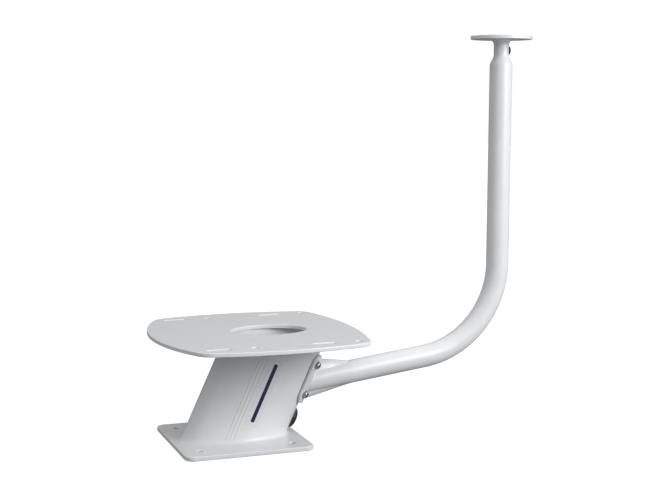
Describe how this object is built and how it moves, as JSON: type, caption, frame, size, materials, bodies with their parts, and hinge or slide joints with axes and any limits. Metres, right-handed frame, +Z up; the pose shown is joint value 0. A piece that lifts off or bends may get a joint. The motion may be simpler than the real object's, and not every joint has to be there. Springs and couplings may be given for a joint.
{
  "type": "radar mounting tower with antenna arm",
  "caption": "Aft-leaning hollow aluminium radar tower with a deck plate, a slotted radar plate and a bolted-on bent tube arm that carries a small round antenna disc.",
  "frame": {"origin": "centre of the underside of the base plate, on the deck", "axes": "+Z up, +X aft, the way the tower leans and the arm reaches, +Y across the boat to starboard; symmetric about Y = 0"},
  "size_m": [0.5578, 0.2986, 0.556],
  "materials": {
    "white_paint": "gloss",
    "stainless_steel": "satin",
    "black_rubber": "satin",
    "grey_rubber": "matte",
    "label_vinyl": "gloss"
  },
  "bodies": {
    "root": {"base_plate": "white_paint", "base_weld": "white_paint", "tower_column": "white_paint", "top_weld": "white_paint", "radar_plate": "white_paint", "arm_foot": "white_paint", "arm_tube": "white_paint", "neck_reducer": "white_paint", "neck_pipe": "white_paint", "neck_weld": "white_paint", "antenna_disc": "white_paint", "foot_bolt_lower_near": "stainless_steel", "foot_washer_lower_near": "stainless_steel", "inner_washer_lower_near": "stainless_steel", "foot_nut_lower_near": "stainless_steel", "foot_bolt_upper_near": "stainless_steel", "foot_washer_upper_near": "stainless_steel", "inner_washer_upper_near": "stainless_steel", "foot_nut_upper_near": "stainless_steel", "foot_bolt_lower_far": "stainless_steel", "foot_washer_lower_far": "stainless_steel", "inner_washer_lower_far": "stainless_steel", "foot_nut_lower_far": "stainless_steel", "foot_bolt_upper_far": "stainless_steel", "foot_washer_upper_far": "stainless_steel", "inner_washer_upper_far": "stainless_steel", "foot_nut_upper_far": "stainless_steel", "column_grommet": "black_rubber", "neck_grommet": "black_rubber", "arm_gasket": "grey_rubber", "near_side_label": "label_vinyl", "far_side_label": "label_vinyl"}
  },
  "joints": []
}
